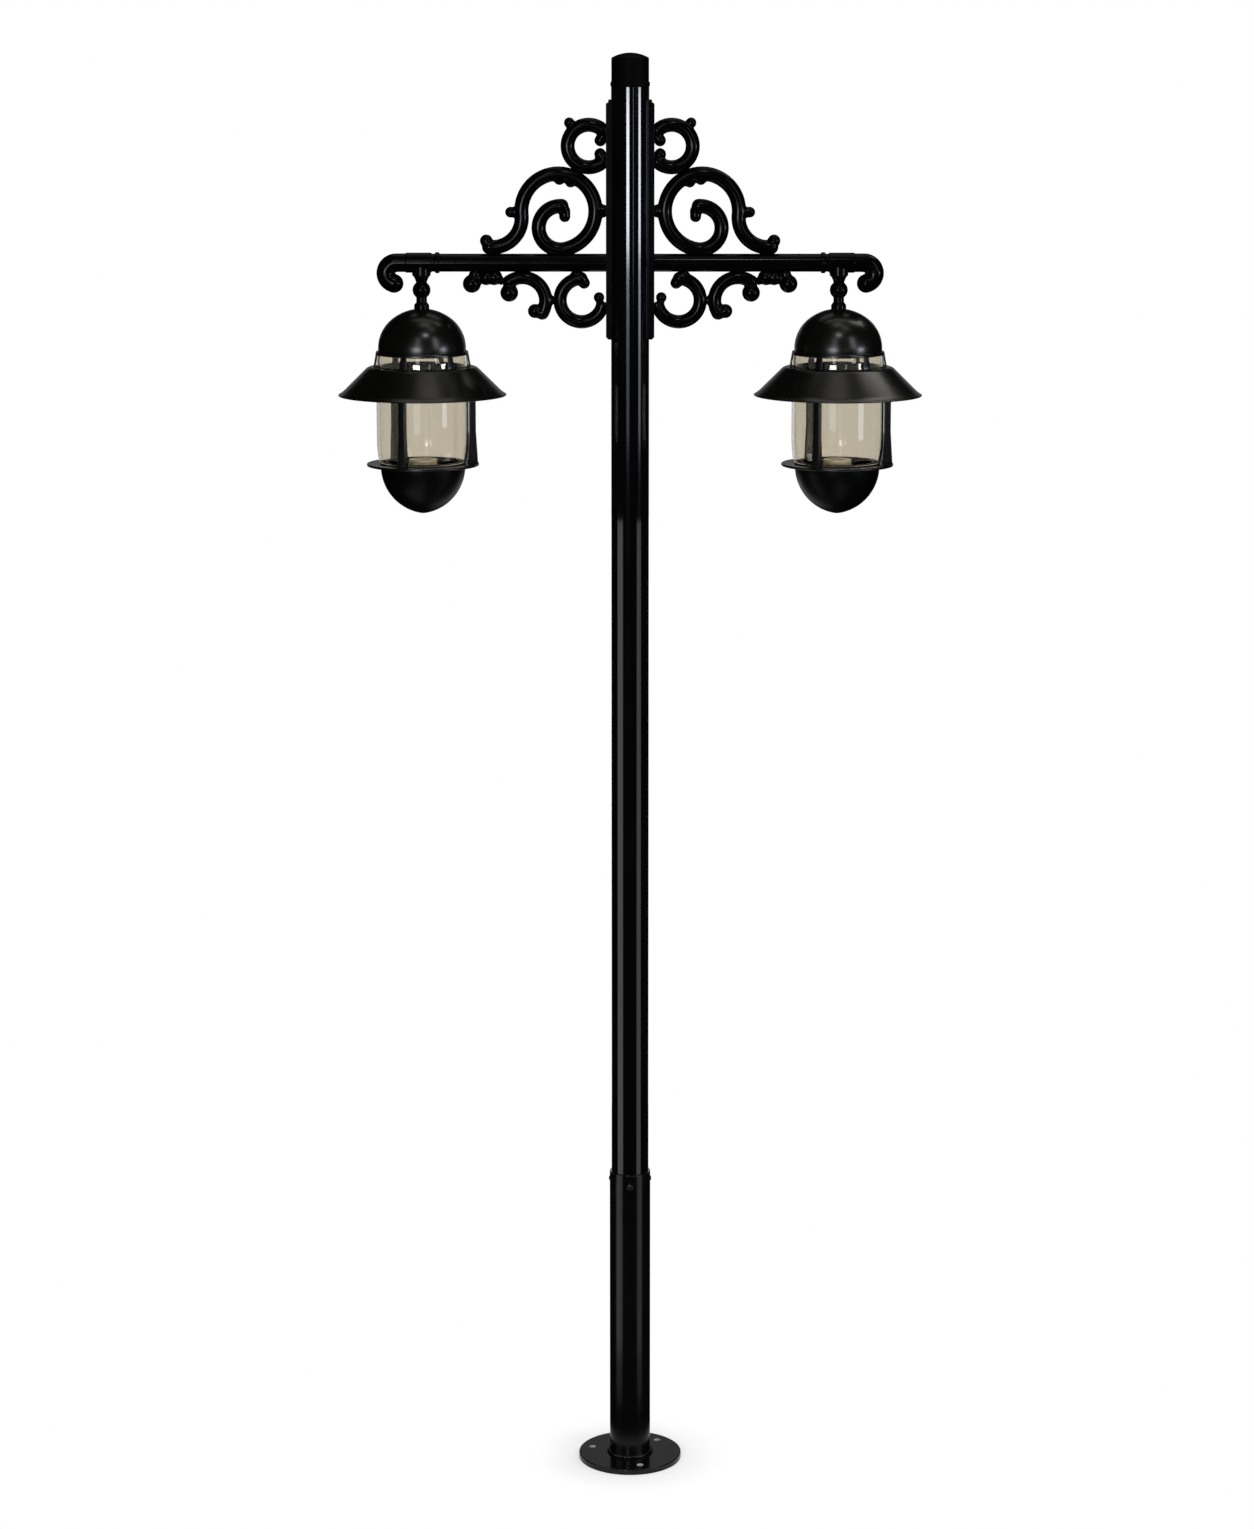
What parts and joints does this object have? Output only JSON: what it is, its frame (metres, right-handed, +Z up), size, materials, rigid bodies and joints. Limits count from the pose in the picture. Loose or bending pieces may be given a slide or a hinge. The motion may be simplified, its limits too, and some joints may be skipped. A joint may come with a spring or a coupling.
{
  "type": "garden lamp post",
  "caption": "Tall black garden lamp post with scrolled side arms, hanging smoked-glass lanterns under brimmed hoods, and a socketed base plate.",
  "frame": {"origin": "centre of the base plate's underside, on the ground", "axes": "+Z up along the pole, X along the two arms, -Y towards the picture's camera"},
  "size_m": [0.9774, 0.282, 2.433],
  "materials": {
    "base_coat": "satin black powder coat",
    "pole_enamel": "gloss black enamel",
    "bracket_enamel": "gloss black enamel on cast aluminium",
    "lantern_coat": "satin black powder coat on spun aluminium",
    "screw_steel": "black-coated steel",
    "zinc_steel": "zinc plated",
    "cap_plastic": "moulded matte black",
    "smoked_glass": "clear, lightly smoked",
    "seal_rubber": "matte",
    "porcelain": "glazed cream ceramic",
    "brass": "nickel-free pressed brass"
  },
  "bodies": {
    "base": {"base_flange": "base_coat", "base_sleeve": "base_coat", "pole_seat_ring": "base_coat", "clamp_screws": "screw_steel"},
    "column": {"pole_tube": "pole_enamel", "saddle_screws": "screw_steel", "left_saddle_bar": "bracket_enamel", "left_arm_tube": "bracket_enamel", "left_arm_collar": "bracket_enamel", "left_tee_fitting": "bracket_enamel", "left_end_scroll": "bracket_enamel", "left_drop_stem": "bracket_enamel", "left_upper_c_scroll": "bracket_enamel", "left_s_scroll": "bracket_enamel", "left_lower_c_scroll": "bracket_enamel", "left_lower_s_scroll": "bracket_enamel", "left_leaf_scroll": "bracket_enamel", "left_stem_nut": "zinc_steel", "right_saddle_bar": "bracket_enamel", "right_arm_tube": "bracket_enamel", "right_arm_collar": "bracket_enamel", "right_tee_fitting": "bracket_enamel", "right_end_scroll": "bracket_enamel", "right_drop_stem": "bracket_enamel", "right_upper_c_scroll": "bracket_enamel", "right_s_scroll": "bracket_enamel", "right_lower_c_scroll": "bracket_enamel", "right_lower_s_scroll": "bracket_enamel", "right_leaf_scroll": "bracket_enamel", "right_stem_nut": "zinc_steel"},
    "cap": {"pole_cap": "cap_plastic"},
    "left_lantern_head": {"left_dome": "lantern_coat", "left_vent_band": "lantern_coat", "left_brim": "lantern_coat", "left_cage_posts": "lantern_coat", "left_flange_ring": "lantern_coat", "left_glass": "smoked_glass", "left_glass_gaskets": "seal_rubber"},
    "left_bowl_unit": {"left_bowl": "lantern_coat", "left_bowl_seal": "seal_rubber", "left_holder_post": "zinc_steel", "left_lampholder": "porcelain", "left_screw_shell": "brass", "left_centre_contact": "brass"},
    "right_lantern_head": {"right_dome": "lantern_coat", "right_vent_band": "lantern_coat", "right_brim": "lantern_coat", "right_cage_posts": "lantern_coat", "right_flange_ring": "lantern_coat", "right_glass": "smoked_glass", "right_glass_gaskets": "seal_rubber"},
    "right_bowl_unit": {"right_bowl": "lantern_coat", "right_bowl_seal": "seal_rubber", "right_holder_post": "zinc_steel", "right_lampholder": "porcelain", "right_screw_shell": "brass", "right_centre_contact": "brass"}
  },
  "joints": [
    {"name": "pole_swivel", "type": "hinge", "parent": "base", "child": "column", "pos_m": [0, 0, 0.52], "axis": [0, 0, 1], "range_deg": [-180, 180]},
    {"name": "cap_lift", "type": "slide", "parent": "column", "child": "cap", "axis": [0, 0, 1], "range_m": [0, 0.04]},
    {"name": "left_lantern_turn", "type": "hinge", "parent": "column", "child": "left_lantern_head", "pos_m": [-0.3477, 0, 2.01], "axis": [0, 0, 1], "range_deg": [-170, 170]},
    {"name": "left_bowl_drop", "type": "slide", "parent": "left_lantern_head", "child": "left_bowl_unit", "axis": [0, 0, -1], "range_m": [0, 0.09]},
    {"name": "right_lantern_turn", "type": "hinge", "parent": "column", "child": "right_lantern_head", "pos_m": [0.3477, 0, 2.01], "axis": [0, 0, 1], "range_deg": [-170, 170]},
    {"name": "right_bowl_drop", "type": "slide", "parent": "right_lantern_head", "child": "right_bowl_unit", "axis": [0, 0, -1], "range_m": [0, 0.09]}
  ]
}
